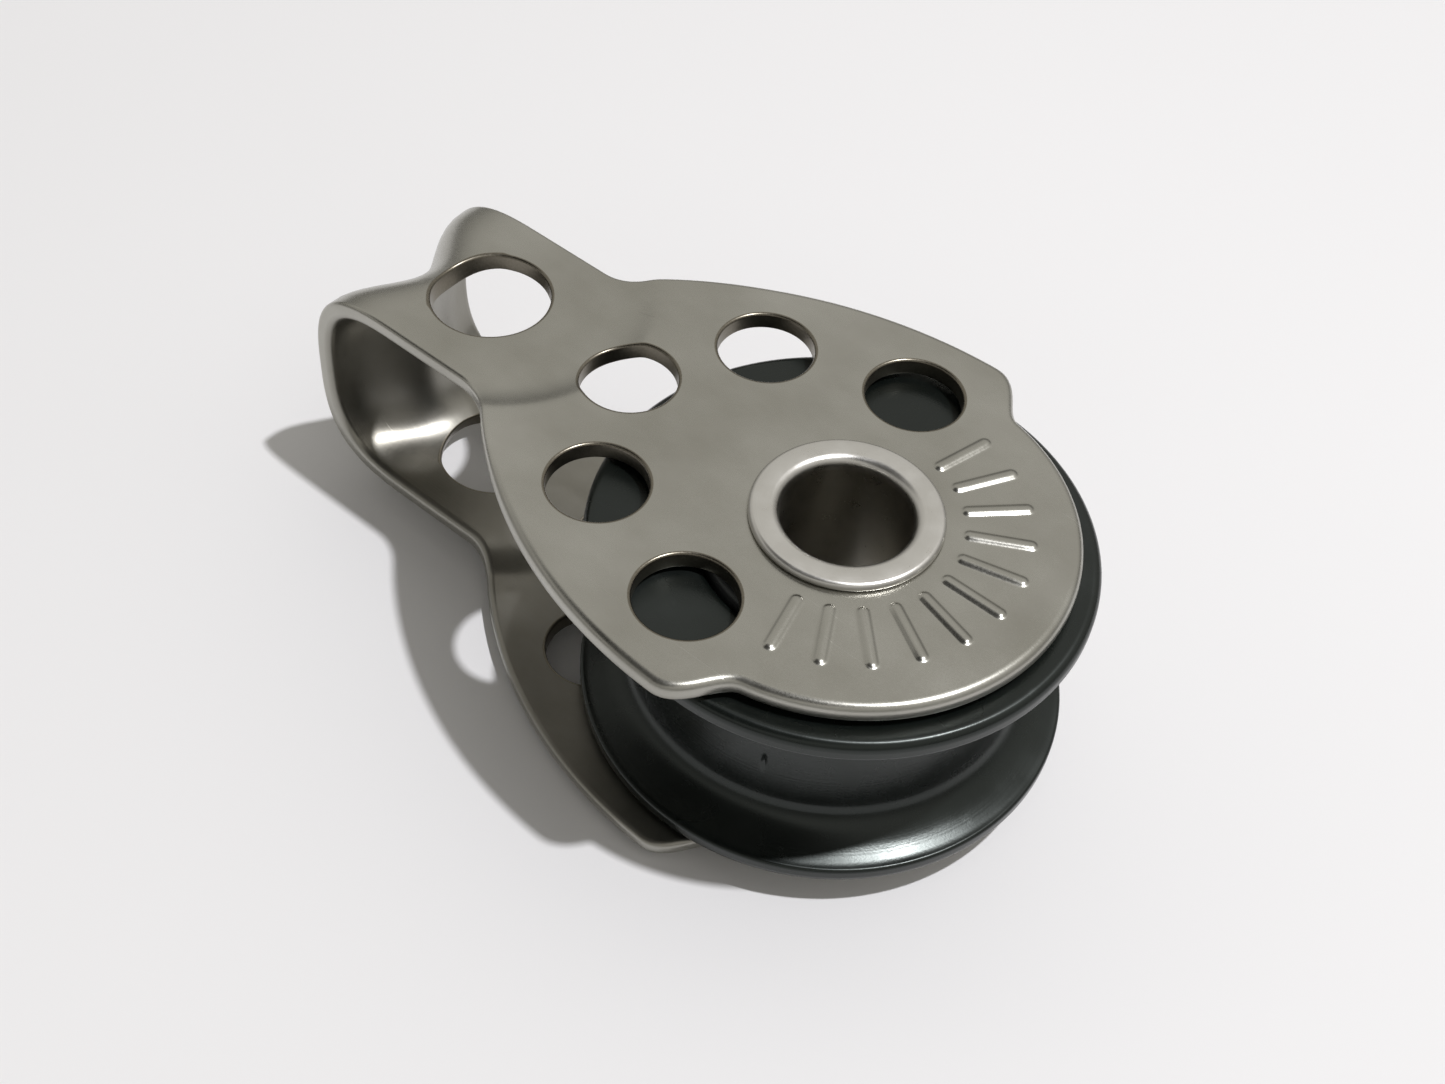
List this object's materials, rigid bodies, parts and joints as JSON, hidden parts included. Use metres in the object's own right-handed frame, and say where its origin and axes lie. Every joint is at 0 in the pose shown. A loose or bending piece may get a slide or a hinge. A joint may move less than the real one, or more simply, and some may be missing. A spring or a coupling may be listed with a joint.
{
  "type": "single sailing block",
  "caption": "Small single block: a folded sheet steel strap with a head loop carries a grooved ball-bearing sheave on a hollow rivet.",
  "frame": {"origin": "middle of the part's outline in plan, on the face of the lower rivet head", "axes": "+X from the rivet towards the head loop, +Z along the rivet axis, +Y completes the right hand"},
  "size_m": [0.0442, 0.0274, 0.0147],
  "materials": {
    "sheet": "satin stainless sheet, lightly scratched",
    "rivet": "turned and polished stainless",
    "sheave": "black acetal, turned, semi-gloss",
    "race": "black acetal, satin",
    "ball": "natural white acetal"
  },
  "bodies": {
    "frame": {"cheek_strap": "sheet", "hollow_rivet": "rivet", "inner_race_upper": "race", "inner_race_lower": "race"},
    "sheave": {"sheave": "sheave"},
    "upper_balls": {"ball_upper_01": "ball", "ball_upper_02": "ball", "ball_upper_03": "ball", "ball_upper_04": "ball", "ball_upper_05": "ball", "ball_upper_06": "ball", "ball_upper_07": "ball", "ball_upper_08": "ball", "ball_upper_09": "ball", "ball_upper_10": "ball", "ball_upper_11": "ball", "ball_upper_12": "ball", "ball_upper_13": "ball", "ball_upper_14": "ball", "ball_upper_15": "ball", "ball_upper_16": "ball"},
    "lower_balls": {"ball_lower_01": "ball", "ball_lower_02": "ball", "ball_lower_03": "ball", "ball_lower_04": "ball", "ball_lower_05": "ball", "ball_lower_06": "ball", "ball_lower_07": "ball", "ball_lower_08": "ball", "ball_lower_09": "ball", "ball_lower_10": "ball", "ball_lower_11": "ball", "ball_lower_12": "ball", "ball_lower_13": "ball", "ball_lower_14": "ball", "ball_lower_15": "ball", "ball_lower_16": "ball"}
  },
  "joints": [
    {"name": "sheave_spin", "type": "hinge", "parent": "frame", "child": "sheave", "pos_m": [-0.00962, 0, 0.00735], "axis": [0, 0, 1], "continuous": true},
    {"name": "upper_row", "type": "hinge", "parent": "frame", "child": "upper_balls", "pos_m": [-0.00962, 0, 0.00735], "axis": [0, 0, 1], "continuous": true},
    {"name": "lower_row", "type": "hinge", "parent": "frame", "child": "lower_balls", "pos_m": [-0.00962, 0, 0.00735], "axis": [0, 0, 1], "continuous": true}
  ],
  "couplings": [
    {"joint": "upper_row", "follows": "sheave_spin", "ratio": 0.5738},
    {"joint": "lower_row", "follows": "sheave_spin", "ratio": 0.5738}
  ]
}
